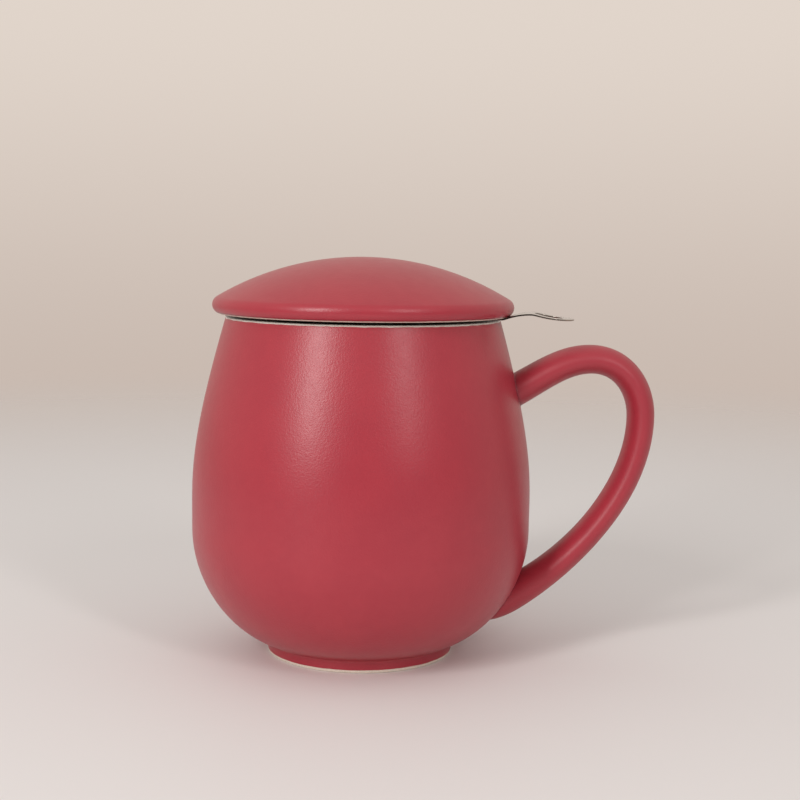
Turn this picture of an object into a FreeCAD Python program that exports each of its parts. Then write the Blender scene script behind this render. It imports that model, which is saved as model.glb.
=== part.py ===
import FreeCAD, Part
import math
import os
from FreeCAD import Vector

# A lidded tea mug with a lift-out infuser. Lengths are millimetres and angles are degrees.
# +Z is up, the origin is the centre of the foot ring on the table, and the handle points along +X.

# Mug body: a foot ring, a round belly and a neck that leans in to the lip
FOOT_RADIUS = 24.9
FOOT_HEIGHT = 3.4
FOOT_RING_WIDTH = 3.5
FOOT_RECESS = 2.2
FOOT_ROUNDING = 0.45
BELLY_RADIUS = 45.35
BELLY_HEIGHT = 34.0
RIM_RADIUS = 36.6
RIM_HEIGHT = 90.0
UNDERSIDE_ANGLE = 16.0
UNDERSIDE_PULL = 10.4
BELLY_PULL = 13.9
NECK_PULL = 36.1
LEAN_ANGLE = 15.85
WALL = 3.6
LIP_BULGE = 1.1
FLOOR_THICKNESS = 4.8
FLOOR_FLAT_RADIUS = 13.0

# Handle: an ear of oval section, from the neck over a high shoulder down to the underside
HANDLE_TOP_HEIGHT = 72.3
HANDLE_TOP_ANGLE = 21.8
HANDLE_TOP_PULL = 10.0
HANDLE_SHOULDER_OUT = 15.9
HANDLE_SHOULDER_HEIGHT = 80.0
HANDLE_SHOULDER_PULL = 8.4
HANDLE_REACH = 29.5
HANDLE_REACH_HEIGHT = 64.6
HANDLE_REACH_PULL_UP = 8.1
HANDLE_REACH_PULL_DOWN = 19.5
HANDLE_LOW_OUT = 1.9
HANDLE_LOW_HEIGHT = 16.9
HANDLE_LOW_ANGLE = 29.6
HANDLE_LOW_PULL = 19.0
HANDLE_ROOT_SINK = 4.0
HANDLE_TAIL_SINK = 11.0
HANDLE_TAIL_DROP = 3.4
HANDLE_TAIL_PULL = 4.5
HANDLE_THICKNESS = 7.1
HANDLE_TOP_THICKNESS = 9.2
HANDLE_LOW_THICKNESS = 9.6
HANDLE_WIDTH = 13.0
HANDLE_ROOT_WIDTH = 15.0
HANDLE_TOP_SWELL = 0.22
HANDLE_LOW_SWELL = 0.30
HANDLE_SECTIONS = (4, 4, 7, 3)

# Infuser: a rolled sieve tube under a flat rim that rests on the lip
RIM_SHEET = 0.45
RIM_OVERHANG = 0.1
COLLAR_SHEET = 0.4
COLLAR_HEIGHT = 8.0
COLLAR_LAP = 2.5
SIEVE_SHEET = 0.3
INFUSER_DEPTH = 62.0
BASE_RING_HEIGHT = 2.0
BASE_RING_LAP = 2.5
SEAM_WIDTH = 2.4
SEAM_HEIGHT = 0.2
WELD_COUNT = 8
WELD_RADIUS = 0.8
WELD_HEIGHT = 0.12

# Pull tab: a tongue of the rim's sheet that rises past the lid and droops to a round end
TAB_AZIMUTH = -9.3
TAB_WIDTH = 13.0
TAB_LENGTH = 19.3
TAB_FLAT = 1.7
TAB_PEAK_OUT = 7.2
TAB_PEAK_RISE = 1.6
TAB_END_RISE = 0.1
TAB_CLIMB_PULL = 2.0
TAB_PEAK_PULL = 1.7
TAB_END_PULL = 6.8
TAB_HOLE_OUT = 12.6
TAB_HOLE_LENGTH = 7.4
TAB_HOLE_WIDTH = 6.4

# Lid: a shallow dome with a rounded edge, and a locating ring under it
LID_OVERHANG = 3.5
LID_HEIGHT = 15.2
LID_EDGE_ROUNDING = 2.4
LID_EDGE_RISE = 2.3
LID_THICKNESS = 4.2
LID_SEAT_INSET = 2.4
LID_RING_WIDTH = 3.0
LID_RING_DEPTH = 5.0
LID_SOFT_EDGE = 0.8

# Clearances between the three pieces that lift apart
SEAT_GAP = 0.05
INFUSER_GAP = 1.9
LID_RING_GAP = 1.0

AXIS = Vector(0, 0, 1)
ORIGIN = Vector(0, 0, 0)
LEAN = math.radians(LEAN_ANGLE)


def at(radius, height):
    """A point of a profile, on the plane through the axis and the handle."""
    return Vector(radius, 0, height)


def heading(angle):
    """A step of length one on that plane, at an angle above the horizontal."""
    return at(math.cos(math.radians(angle)), math.sin(math.radians(angle)))


def bezier(*poles):
    """A cubic curve that starts at the first pole, ends at the last and is pulled by the other two."""
    curve = Part.BezierCurve()
    curve.setPoles(list(poles))
    return curve


def straight(points):
    """The straight edges from each point to the next."""
    return [Part.LineSegment(a, b).toShape() for a, b in zip(points, points[1:])]


def turned(edges, angle=360):
    """The solid that a closed profile sweeps when it turns about the axis."""
    return Part.Face(Part.Wire(edges)).revolve(ORIGIN, AXIS, angle)


def outline_turned(points, angle=360):
    """The same for a profile with straight sides only."""
    return turned(straight(points + points[:1]), angle)


def ring(inner, outer, low, high):
    """A flat-sided ring about the axis."""
    return outline_turned([at(inner, low), at(outer, low), at(outer, high), at(inner, high)])


def rounded(solid, amount, circles):
    """The solid with fillets on those edges that are circles of the given radii and heights."""
    edges = []
    for edge in solid.Edges:
        if edge.Degenerated or not isinstance(edge.Curve, Part.Circle):
            continue
        here = (edge.Curve.Radius, edge.Curve.Center.z)
        if any(math.dist(here, circle) < 0.01 for circle in circles):
            edges.append(edge)
    return solid.makeFillet(amount, edges)


def underside_curve():
    """The outer profile from the top of the foot to the belly, which it reaches upright."""
    start = at(FOOT_RADIUS, FOOT_HEIGHT)
    belly = at(BELLY_RADIUS, BELLY_HEIGHT)
    return bezier(start, start + heading(UNDERSIDE_ANGLE) * UNDERSIDE_PULL, belly - at(0, BELLY_PULL), belly)


def neck_curve():
    """The outer profile from the belly to the rim, which it reaches leaning inwards."""
    belly = at(BELLY_RADIUS, BELLY_HEIGHT)
    rim = at(RIM_RADIUS, RIM_HEIGHT)
    return bezier(belly, belly + at(0, BELLY_PULL), rim - heading(90 + LEAN_ANGLE) * NECK_PULL, rim)


def inward(curve, share):
    """A point one wall's thickness inside the outer profile."""
    slope = curve.tangent(share)[0]
    return curve.value(share) - at(slope.z, -slope.x) * WALL


def lip_arc():
    """The rounded top of the wall, from the outer profile over to the inner one."""
    outer = neck_curve().value(1)
    inner = inward(neck_curve(), 1)
    top = (outer + inner) * 0.5 + heading(90 + LEAN_ANGLE) * LIP_BULGE
    return Part.Arc(outer, top, inner).toShape()


LIP_CIRCLE = lip_arc().Curve
LIP_TOP = LIP_CIRCLE.Center.z + LIP_CIRCLE.Radius
MOUTH_RADIUS = inward(neck_curve(), 1).x

# Radii from the mouth inwards: the collar hangs in the mouth, the sieve is lapped inside the collar,
# and the lid's ring drops inside the collar
COLLAR_RADIUS = MOUTH_RADIUS - INFUSER_GAP
COLLAR_INSIDE = COLLAR_RADIUS - COLLAR_SHEET
SIEVE_INSIDE = COLLAR_INSIDE - SIEVE_SHEET
LID_RING_RADIUS = COLLAR_INSIDE - LID_RING_GAP
RIM_SHEET_RADIUS = RIM_RADIUS + RIM_OVERHANG

# Heights from the lip: the infuser's rim rests on the lip, and the lid on the infuser's rim
RIM_LOW = LIP_TOP + SEAT_GAP
RIM_MIDDLE = RIM_LOW + RIM_SHEET / 2
LID_SEAT = RIM_LOW + RIM_SHEET + SEAT_GAP
COLLAR_LOW = RIM_LOW - COLLAR_HEIGHT
SIEVE_LOW = RIM_LOW - INFUSER_DEPTH + SIEVE_SHEET


def outer_edges():
    """The outer profile from the top of the foot to the rim."""
    return [underside_curve().toShape(), neck_curve().toShape()]


def inner_edges():
    """The inner profile from the lip down to the middle of the floor."""
    floor = at(FLOOR_FLAT_RADIUS, FOOT_RECESS + FLOOR_THICKNESS)
    neck = [inward(neck_curve(), share) for share in (1.0, 0.8, 0.6, 0.4, 0.2, 0.0)]
    under = [inward(underside_curve(), share) for share in (0.8, 0.6, 0.4)]
    curve = Part.BSplineCurve()
    curve.interpolate(
        Points=neck + under + [floor],
        InitialTangent=heading(LEAN_ANGLE - 90),
        FinalTangent=heading(180),
    )
    return [curve.toShape()] + straight([floor, at(0, floor.z)])


def make_mug_body():
    """The thrown shape: foot ring, belly, neck and lip, with an even wall."""
    ring_inside = FOOT_RADIUS - FOOT_RING_WIDTH
    foot = straight([
        at(0, FOOT_RECESS + FLOOR_THICKNESS),
        at(0, FOOT_RECESS),
        at(ring_inside, FOOT_RECESS),
        at(ring_inside, 0),
        at(FOOT_RADIUS, 0),
        at(FOOT_RADIUS, FOOT_HEIGHT),
    ])
    solid = turned(foot + outer_edges() + [lip_arc()] + inner_edges())
    return rounded(solid, FOOT_ROUNDING, [(FOOT_RADIUS, 0), (ring_inside, 0), (ring_inside, FOOT_RECESS)])


def filled_body():
    """The body's outside with no hollow in it, which trims the handle's ends."""
    rim = neck_curve().value(1)
    return turned(outer_edges() + straight([rim, at(0, rim.z), at(0, 0), at(FOOT_RADIUS, 0),
                                            at(FOOT_RADIUS, FOOT_HEIGHT)]))


def body_radius(height):
    """The outer radius of the body at a height between the foot and the rim."""
    curve = neck_curve() if height > BELLY_HEIGHT else underside_curve()
    low, high = 0.0, 1.0
    while high - low > 1e-9:
        middle = (low + high) / 2
        if curve.value(middle).z < height:
            low = middle
        else:
            high = middle
    return curve.value(low).x


def handle_curves():
    """The handle's centreline: root to shoulder, shoulder to reach, reach to the low root, and the tail."""
    root = at(body_radius(HANDLE_TOP_HEIGHT), HANDLE_TOP_HEIGHT) - heading(HANDLE_TOP_ANGLE) * HANDLE_ROOT_SINK
    shoulder = at(BELLY_RADIUS + HANDLE_SHOULDER_OUT, HANDLE_SHOULDER_HEIGHT)
    reach = at(BELLY_RADIUS + HANDLE_REACH, HANDLE_REACH_HEIGHT)
    low = at(body_radius(HANDLE_LOW_HEIGHT) + HANDLE_LOW_OUT, HANDLE_LOW_HEIGHT)
    tail = low - at(HANDLE_TAIL_SINK, HANDLE_TAIL_DROP)
    aside = at(HANDLE_SHOULDER_PULL, 0)
    slant = heading(HANDLE_LOW_ANGLE)
    return [
        bezier(root, root + heading(HANDLE_TOP_ANGLE) * HANDLE_TOP_PULL, shoulder - aside, shoulder),
        bezier(shoulder, shoulder + aside, reach + at(0, HANDLE_REACH_PULL_UP), reach),
        bezier(reach, reach - at(0, HANDLE_REACH_PULL_DOWN), low + slant * HANDLE_LOW_PULL, low),
        bezier(low, low - slant * HANDLE_TAIL_PULL, tail + at(HANDLE_TAIL_PULL, 0), tail),
    ]


def handle_section(curve, share, along):
    """The oval across the centreline. It swells towards both ends; along is the share of the way from the top."""
    near_top = max(0, 1 - along / HANDLE_TOP_SWELL) ** 2
    near_low = max(0, 1 - (1 - along) / HANDLE_LOW_SWELL) ** 2
    thickness = (HANDLE_THICKNESS + (HANDLE_TOP_THICKNESS - HANDLE_THICKNESS) * near_top
                 + (HANDLE_LOW_THICKNESS - HANDLE_THICKNESS) * near_low)
    width = HANDLE_WIDTH + (HANDLE_ROOT_WIDTH - HANDLE_WIDTH) * (near_top + near_low)
    slope = curve.tangent(share)[0]
    middle = curve.value(share)
    oval = Part.Ellipse(middle + Vector(0, width / 2, 0), middle + at(-slope.z, slope.x) * thickness / 2, middle)
    return Part.Wire([oval.toShape()])


def make_mug_handle():
    """The ear, lofted through ovals and cut where it meets the body."""
    curves = handle_curves()
    total = sum(curve.length() for curve in curves)
    sections = []
    before = 0
    for curve, steps in zip(curves, HANDLE_SECTIONS):
        for step in range(steps):
            share = step / steps
            done = before + (curve.length(0, share) if step else 0)
            sections.append(handle_section(curve, share, done / total))
        before += curve.length()
    sections.append(handle_section(curves[-1], 1, 1))
    return Part.makeLoft(sections, True, False).cut(filled_body())


def make_infuser_rim():
    """The flat ring of sheet that rests on the mug's lip."""
    return ring(COLLAR_INSIDE, RIM_SHEET_RADIUS, RIM_LOW, RIM_LOW + RIM_SHEET)


def tab_profile(shift):
    """The tab's side view, moved up or down by half the sheet's thickness."""
    start = at(RIM_SHEET_RADIUS - TAB_FLAT, RIM_MIDDLE + shift)
    bend = at(RIM_SHEET_RADIUS + TAB_FLAT, start.z)
    peak = at(RIM_SHEET_RADIUS + TAB_PEAK_OUT, start.z + TAB_PEAK_RISE)
    end = at(RIM_SHEET_RADIUS + TAB_LENGTH, start.z + TAB_END_RISE)
    climb = at(TAB_CLIMB_PULL, 0)
    return straight([start, bend]) + [
        bezier(bend, bend + climb, peak - climb, peak).toShape(),
        bezier(peak, peak + at(TAB_PEAK_PULL, 0), end - at(TAB_END_PULL, 0), end).toShape(),
    ]


def prism(edges, low, high):
    """A flat outline drawn at height 0, stood up between two heights."""
    face = Part.Face(Part.Wire(edges))
    face.translate(Vector(0, 0, low))
    return face.extrude(Vector(0, 0, high - low))


def slot_outline(middle, length, width):
    """An outline along X with straight sides and two round ends."""
    half = (length - width) / 2
    side = width / 2
    left, right = middle - half, middle + half
    return [
        Part.LineSegment(Vector(left, -side, 0), Vector(right, -side, 0)).toShape(),
        Part.Arc(Vector(right, -side, 0), Vector(right + side, 0, 0), Vector(right, side, 0)).toShape(),
        Part.LineSegment(Vector(right, side, 0), Vector(left, side, 0)).toShape(),
        Part.Arc(Vector(left, side, 0), Vector(left - side, 0, 0), Vector(left, -side, 0)).toShape(),
    ]


def make_pull_tab():
    """The tongue: a bent strip cut to a round-ended outline, with an oval hole and its root on the rim."""
    upper = tab_profile(RIM_SHEET / 2)
    lower = tab_profile(-RIM_SHEET / 2)
    ends = [Part.LineSegment(upper[0].firstVertex().Point, lower[0].firstVertex().Point).toShape(),
            Part.LineSegment(upper[-1].lastVertex().Point, lower[-1].lastVertex().Point).toShape()]
    side = Part.Face(Part.Wire(Part.__sortEdges__(upper + lower + ends)))
    side.translate(Vector(0, -TAB_WIDTH, 0))
    strip = side.extrude(Vector(0, 2 * TAB_WIDTH, 0))
    low = RIM_LOW - RIM_SHEET
    high = RIM_LOW + TAB_PEAK_RISE + 3 * RIM_SHEET
    back = RIM_SHEET_RADIUS - 2 * TAB_WIDTH
    front = RIM_SHEET_RADIUS + TAB_LENGTH
    tongue = strip.common(prism(slot_outline((back + front) / 2, front - back, TAB_WIDTH), low, high))
    tongue = tongue.cut(Part.makeCylinder(RIM_SHEET_RADIUS, high - low, Vector(0, 0, low)))
    hole = slot_outline(RIM_SHEET_RADIUS + TAB_HOLE_OUT, TAB_HOLE_LENGTH, TAB_HOLE_WIDTH)
    tongue = tongue.cut(prism(hole, low, high))
    tongue.rotate(ORIGIN, AXIS, TAB_AZIMUTH)
    return tongue


def make_infuser_collar():
    """The plain band that hangs from the rim in the mug's mouth."""
    return ring(COLLAR_INSIDE, COLLAR_RADIUS, COLLAR_LOW, RIM_LOW)


def make_infuser_sieve():
    """The rolled tube of sieve sheet, lapped inside the collar."""
    return ring(SIEVE_INSIDE, COLLAR_INSIDE, SIEVE_LOW, COLLAR_LOW + COLLAR_LAP)


def make_infuser_base():
    """The round sheet that closes the sieve's lower end."""
    return Part.makeCylinder(SIEVE_INSIDE, SIEVE_SHEET, Vector(0, 0, SIEVE_LOW))


def make_base_ring():
    """The hoop that is crimped round the corner of the sieve and its base."""
    outside = COLLAR_INSIDE + SIEVE_SHEET
    inside = SIEVE_INSIDE - BASE_RING_LAP
    return outline_turned([
        at(inside, SIEVE_LOW - SIEVE_SHEET),
        at(outside, SIEVE_LOW - SIEVE_SHEET),
        at(outside, SIEVE_LOW + BASE_RING_HEIGHT),
        at(COLLAR_INSIDE, SIEVE_LOW + BASE_RING_HEIGHT),
        at(COLLAR_INSIDE, SIEVE_LOW),
        at(inside, SIEVE_LOW),
    ])


def make_sieve_seam():
    """The weld bead down the sieve's outside, opposite the tab."""
    low = SIEVE_LOW + BASE_RING_HEIGHT
    outside = COLLAR_INSIDE + SEAM_HEIGHT
    spread = math.degrees(SEAM_WIDTH / COLLAR_INSIDE)
    bead = outline_turned([at(COLLAR_INSIDE, low), at(outside, low), at(outside, COLLAR_LOW),
                           at(COLLAR_INSIDE, COLLAR_LOW)], spread)
    bead.rotate(ORIGIN, AXIS, TAB_AZIMUTH + 180 - spread / 2)
    return bead


def make_spot_welds():
    """The flat dots where the sieve's top edge is welded to the collar, evenly round the inside."""
    height = COLLAR_LOW + COLLAR_LAP / 2
    inside = Part.makeCylinder(SIEVE_INSIDE, 4 * WELD_RADIUS, Vector(0, 0, height - 2 * WELD_RADIUS))
    dots = []
    for index in range(WELD_COUNT):
        stub = Part.makeCylinder(WELD_RADIUS, 1, at(SIEVE_INSIDE - WELD_HEIGHT, height), Vector(1, 0, 0))
        dot = stub.common(inside)
        dot.rotate(ORIGIN, AXIS, TAB_AZIMUTH + (index + 0.5) * 360 / WELD_COUNT)
        dots.append(dot)
    return Part.makeCompound(dots)


def make_lid():
    """The dome with its rounded edge, a seat round the underside, and the locating ring."""
    edge_middle = at(RIM_RADIUS + LID_OVERHANG - LID_EDGE_ROUNDING, LID_SEAT + LID_EDGE_RISE)
    apex = LID_SEAT + LID_HEIGHT
    drop = apex - edge_middle.z
    dome = (edge_middle.x ** 2 + drop ** 2 - LID_EDGE_ROUNDING ** 2) / (2 * (drop - LID_EDGE_ROUNDING))
    dome_middle = apex - dome

    def on_dome(radius, depth):
        """A point on the dome's outside, or a depth below it, at a distance from the axis."""
        return at(radius, dome_middle + math.sqrt((dome - depth) ** 2 - radius ** 2))

    def dome_arc(from_radius, to_radius, depth):
        """A stretch of the dome's profile between two distances from the axis."""
        middle = on_dome((from_radius + to_radius) / 2, depth)
        return Part.Arc(on_dome(from_radius, depth), middle, on_dome(to_radius, depth)).toShape()

    outwards = (edge_middle - at(0, dome_middle)).normalize()
    edge_top = edge_middle + outwards * LID_EDGE_ROUNDING
    edge_side = edge_middle + at(LID_EDGE_ROUNDING, 0)
    seat_outside = edge_middle.x + math.sqrt(LID_EDGE_ROUNDING ** 2 - LID_EDGE_RISE ** 2)
    seat_inside = RIM_RADIUS - LID_SEAT_INSET
    ring_inside = LID_RING_RADIUS - LID_RING_WIDTH
    ring_low = LID_SEAT - LID_RING_DEPTH
    under = LID_THICKNESS
    profile = [dome_arc(0, edge_top.x, 0), Part.Arc(edge_top, edge_side, at(seat_outside, LID_SEAT)).toShape()]
    profile += straight([at(seat_outside, LID_SEAT), at(seat_inside, LID_SEAT), on_dome(seat_inside, under)])
    profile.append(dome_arc(seat_inside, LID_RING_RADIUS, under))
    profile += straight([on_dome(LID_RING_RADIUS, under), at(LID_RING_RADIUS, ring_low),
                         at(ring_inside, ring_low), on_dome(ring_inside, under)])
    profile.append(dome_arc(ring_inside, 0, under))
    profile += straight([on_dome(0, under), at(0, apex)])
    soft = [(seat_inside, LID_SEAT), (LID_RING_RADIUS, ring_low), (ring_inside, ring_low)]
    soft += [(radius, on_dome(radius, under).z) for radius in (seat_inside, LID_RING_RADIUS, ring_inside)]
    return rounded(turned(profile), LID_SOFT_EDGE, soft)


PIECES = {
    "mug_body": make_mug_body,
    "mug_handle": make_mug_handle,
    "infuser_rim": make_infuser_rim,
    "pull_tab": make_pull_tab,
    "infuser_collar": make_infuser_collar,
    "infuser_sieve": make_infuser_sieve,
    "infuser_base": make_infuser_base,
    "base_ring": make_base_ring,
    "sieve_seam": make_sieve_seam,
    "spot_welds": make_spot_welds,
    "lid": make_lid,
}

os.makedirs("parts", exist_ok=True)
for name, make in PIECES.items():
    shape = make()
    shape.exportStep("parts/" + name + ".step")
    box = shape.BoundBox
    print(name, "solids", len(shape.Solids), "valid", shape.isValid(), "volume", round(shape.Volume, 2),
          "x %.2f %.2f y %.2f %.2f z %.2f %.2f" % (box.XMin, box.XMax, box.YMin, box.YMax, box.ZMin, box.ZMax))
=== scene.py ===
# %% [markdown]
# # A lidded tea mug with an infuser
# The real thing is a stoneware mug, satin red outside and white inside. A steel infuser hangs in its
# mouth by a flat rim, the rim carries a pull tab, and a loose domed lid rests on the rim. This lesson
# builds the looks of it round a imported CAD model, which already says where each piece is and how it
# moves. We work in millimetres for the shapes and turn them into metres when a mesh is made.

# %% Load the frame
import math

import bpy
import numpy as np
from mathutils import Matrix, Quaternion, Vector
from mathutils.geometry import delaunay_2d_cdt


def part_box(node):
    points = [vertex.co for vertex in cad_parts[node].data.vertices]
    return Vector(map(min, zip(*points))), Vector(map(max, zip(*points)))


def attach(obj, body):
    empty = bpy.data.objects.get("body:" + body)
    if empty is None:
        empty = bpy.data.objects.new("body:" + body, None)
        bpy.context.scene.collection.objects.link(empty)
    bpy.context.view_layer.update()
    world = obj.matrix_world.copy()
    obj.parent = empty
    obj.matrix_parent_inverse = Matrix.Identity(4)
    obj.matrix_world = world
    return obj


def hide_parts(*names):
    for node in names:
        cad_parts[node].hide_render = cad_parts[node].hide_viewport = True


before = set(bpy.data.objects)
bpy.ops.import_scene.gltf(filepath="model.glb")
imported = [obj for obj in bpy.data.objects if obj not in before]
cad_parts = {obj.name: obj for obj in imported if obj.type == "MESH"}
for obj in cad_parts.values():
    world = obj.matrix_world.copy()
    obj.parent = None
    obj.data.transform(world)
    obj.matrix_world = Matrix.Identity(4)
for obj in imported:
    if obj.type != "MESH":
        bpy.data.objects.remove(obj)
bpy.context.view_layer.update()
MM = 0.001

# %% [markdown]
# ## The camera
# A camera has to stand where the picture was taken from, or no outline will ever match. It looks along
# +Y from 405 mm in front of the mug's axis and 113 mm up, tipped down by six degrees and rolled by
# less than one. The lens follows from the picture's own scale: its focal length is 1517 pixels of a
# picture that is 800 pixels wide.

# %% Make the camera
CAMERA_AT = Vector((10.09, -405.0, 113.1)) * MM
CAMERA_TIPPED_DOWN = math.radians(6.32)
CAMERA_ROLL = math.radians(0.84)
FOCAL_PIXELS = 1517.0
PICTURE_PIXELS = 800.0

camera = bpy.data.objects.new("camera", bpy.data.cameras.new("camera"))
bpy.context.scene.collection.objects.link(camera)
camera.data.sensor_width = 36.0
camera.data.lens = camera.data.sensor_width * FOCAL_PIXELS / PICTURE_PIXELS
camera.data.clip_start = 0.01
camera.location = CAMERA_AT
camera.rotation_mode = "QUATERNION"
tipped = Quaternion((1, 0, 0), math.radians(90) - CAMERA_TIPPED_DOWN)
camera.rotation_quaternion = tipped @ Quaternion((0, 0, 1), CAMERA_ROLL)
bpy.context.scene.camera = camera
print("lens", round(camera.data.lens, 2), "mm")

# %% [markdown]
# ## Shader maths as Python
# A finish is a web of nodes, and a web that is wired by hand is hard to read. One small class wraps an
# output socket and overloads the arithmetic, so that `1 - mask * 0.3` adds its own Math nodes. Every
# other node comes from one method, which takes the node's type, its settings and its inputs.

# %% The wire and the finish
class Wire:
    """An output socket that can be added to, subtracted from, multiplied and divided."""

    def __init__(self, finish, socket):
        self.finish = finish
        self.socket = socket

    def __add__(self, other):
        return self.finish.math("ADD", self, other)

    def __sub__(self, other):
        return self.finish.math("SUBTRACT", self, other)

    def __rsub__(self, other):
        return self.finish.math("SUBTRACT", other, self)

    def __mul__(self, other):
        return self.finish.math("MULTIPLY", self, other)

    def __truediv__(self, other):
        return self.finish.math("DIVIDE", self, other)

    __radd__ = __add__
    __rmul__ = __mul__


class Finish:
    """The nodes of a new material, or of the world, and the few ways in which more are added."""

    def __init__(self, name, owner=None):
        self.material = owner or bpy.data.materials.new(name)
        self.material.use_nodes = True
        self.tree = self.material.node_tree
        self.tree.nodes.clear()

    def node(self, kind, settings=None, inputs=None, take=0):
        """A node with its settings, then the values or wires of its inputs; take is the output wanted."""
        made = self.tree.nodes.new(kind)
        for key, value in (settings or {}).items():
            setattr(made, key, value)
        for key, value in (inputs or {}).items():
            if isinstance(value, Wire):
                self.tree.links.new(value.socket, made.inputs[key])
            else:
                made.inputs[key].default_value = value
        return Wire(self, made.outputs[take])

    def math(self, operation, *values):
        """One Math node on these values."""
        return self.node("ShaderNodeMath", {"operation": operation}, dict(enumerate(values)))

    def place(self):
        """The point being shaded, in metres, in the object's own frame."""
        return self.node("ShaderNodeTexCoord", take="Object")

    def noise(self, size_mm, detail=2.0, roughness=0.5, place=None):
        """Smooth noise from 0 to 1 whose blotches are about size_mm across."""
        inputs = {"Vector": place or self.place(), "Scale": 1 / (size_mm * MM), "Detail": detail}
        inputs["Roughness"] = roughness
        return self.node("ShaderNodeTexNoise", None, inputs, "Fac")

    def attribute(self, name):
        """A number that the mesh carries at each vertex."""
        return self.node("ShaderNodeAttribute", {"attribute_name": name}, None, "Fac")

    def step(self, value, low, high):
        """0 below low, 1 above high and a smooth rise between them."""
        inputs = {"Value": value, "From Min": low, "From Max": high}
        return self.node("ShaderNodeMapRange", {"interpolation_type": "SMOOTHSTEP"}, inputs)

    def mix(self, share, first, second):
        """A colour that is first where share is 0 and second where it is 1."""
        return self.node("ShaderNodeMix", {"data_type": "RGBA"}, {0: share, 6: first, 7: second}, 2)

    def part(self, vector, axis):
        """One number of a vector: its X, its Y or its Z."""
        return self.node("ShaderNodeSeparateXYZ", None, {0: vector}, axis)

    def bump(self, height, depth_mm):
        """A normal that follows a height from 0 to 1, which stands for depth_mm of relief."""
        inputs = {"Height": height, "Strength": 1.0, "Distance": depth_mm * MM}
        return self.node("ShaderNodeBump", None, inputs)

    def end(self, shader, kind="ShaderNodeOutputMaterial"):
        """Wires a shader to the output and returns the finished material."""
        output = self.tree.nodes.new(kind)
        self.tree.links.new(shader.socket, output.inputs["Surface"])
        return self.material

    def surface(self, inputs):
        """The one shader that every finish here uses, with its inputs, as a finished material."""
        return self.end(self.node("ShaderNodeBsdfPrincipled", None, inputs))


def colour(red, green, blue):
    """A colour written as a screen shows it, 0 to 255, in the linear light that shaders work in."""
    def linear(value):
        share = value / 255
        return share / 12.92 if share <= 0.04045 else ((share + 0.055) / 1.055) ** 2.4
    return (linear(red), linear(green), linear(blue), 1.0)


print("white of", colour(255, 255, 255)[:3])

# %% [markdown]
# ## Outlines and turned shapes
# Pottery is thrown on a wheel and sheet steel is spun on a lathe, so most of this object is a profile
# turned about one axis. A modifier could do it, but a grid that we work out ourselves also gives each
# vertex its distance along the profile, and the finishes use that to know where one glaze ends.

# %% Pieces of outline
def bezier(first, pull, press, last, count):
    """A cubic curve: the four poles are weighed by (1-t)^3, 3t(1-t)^2, 3t^2(1-t) and t^3."""
    t = np.linspace(0, 1, count)[:, None]
    weights = ((1 - t) ** 3, 3 * t * (1 - t) ** 2, 3 * t ** 2 * (1 - t), t ** 3)
    return sum(weight * np.array(pole, float) for weight, pole in zip(weights, (first, pull, press, last)))


def quadratic(start, corner, stop, t):
    """A curve that leaves start and reaches stop in line with corner. The three are weighed by (1-t)^2,
    2t(1-t) and t^2."""
    return (1 - t) ** 2 * start + 2 * t * (1 - t) * corner + t ** 2 * stop


def arc(middle, radius, start, stop, count):
    """Points of a circle: middle plus radius times (cos a, sin a), with a from start to stop degrees."""
    angle = np.radians(np.linspace(start, stop, count))
    return np.array(middle, float) + radius * np.column_stack([np.cos(angle), np.sin(angle)])


def heading(degrees):
    """A step of length one at an angle a above the horizontal: (cos a, sin a)."""
    return np.array([math.cos(math.radians(degrees)), math.sin(math.radians(degrees))])


def softened(corners, count=6):
    """An outline through corners (radius, height, rounding). Each is rounded by a quadratic curve that
    starts and ends where a circle of that radius would touch: rounding / tan(half the angle) away."""
    points = np.array([corner[:2] for corner in corners], float)
    pieces = [points[:1]]
    for before, here, after, corner in zip(points, points[1:], points[2:], corners[1:]):
        to_before = (before - here) / np.linalg.norm(before - here)
        to_after = (after - here) / np.linalg.norm(after - here)
        half_angle = math.acos(np.clip(to_before @ to_after, -1, 1)) / 2
        cut_back = corner[2] / math.tan(half_angle)
        start, stop = here + to_before * cut_back, here + to_after * cut_back
        bow = quadratic(start, here, stop, np.linspace(0, 1, count)[:, None])
        pieces.append(bow if corner[2] else here[None])
    return np.vstack(pieces + [points[-1:]])


def joined(*pieces):
    """One outline from several, without the points that only repeat their neighbour."""
    points = np.vstack(pieces)
    steps = np.hypot(*np.diff(points, axis=0).T)
    return points[np.r_[True, steps > 1e-4]]


def along(points):
    """The distance from the outline's start to each of its points."""
    return np.r_[0, np.cumsum(np.linalg.norm(np.diff(points, axis=0), axis=1))]


def evened(points, spacing):
    """The outline again, with points about spacing apart."""
    gone = along(points)
    wanted = np.linspace(0, gone[-1], max(2, round(gone[-1] / spacing) + 1))
    return np.column_stack([np.interp(wanted, gone, axis) for axis in points.T])


def slopes(points):
    """A step of length one along an outline at each of its points."""
    slope = np.gradient(points, axis=0)
    return slope / np.linalg.norm(slope, axis=1)[:, None]


def outward(loop):
    """Unit normals of a closed anticlockwise loop, away from its inside: (y, -x) for a tangent (x, y)."""
    tangent = np.roll(loop, -1, 0) - np.roll(loop, 1, 0)
    tangent /= np.linalg.norm(tangent, axis=1)[:, None]
    return np.column_stack([tangent[:, 1], -tangent[:, 0]])


def level_row(radii, height):
    """Points at these radii and one height."""
    return np.column_stack([radii, np.full(len(radii), height)])


print("quarter arc", arc((0, 0), 1, 0, 90, 3).round(2).tolist())

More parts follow.
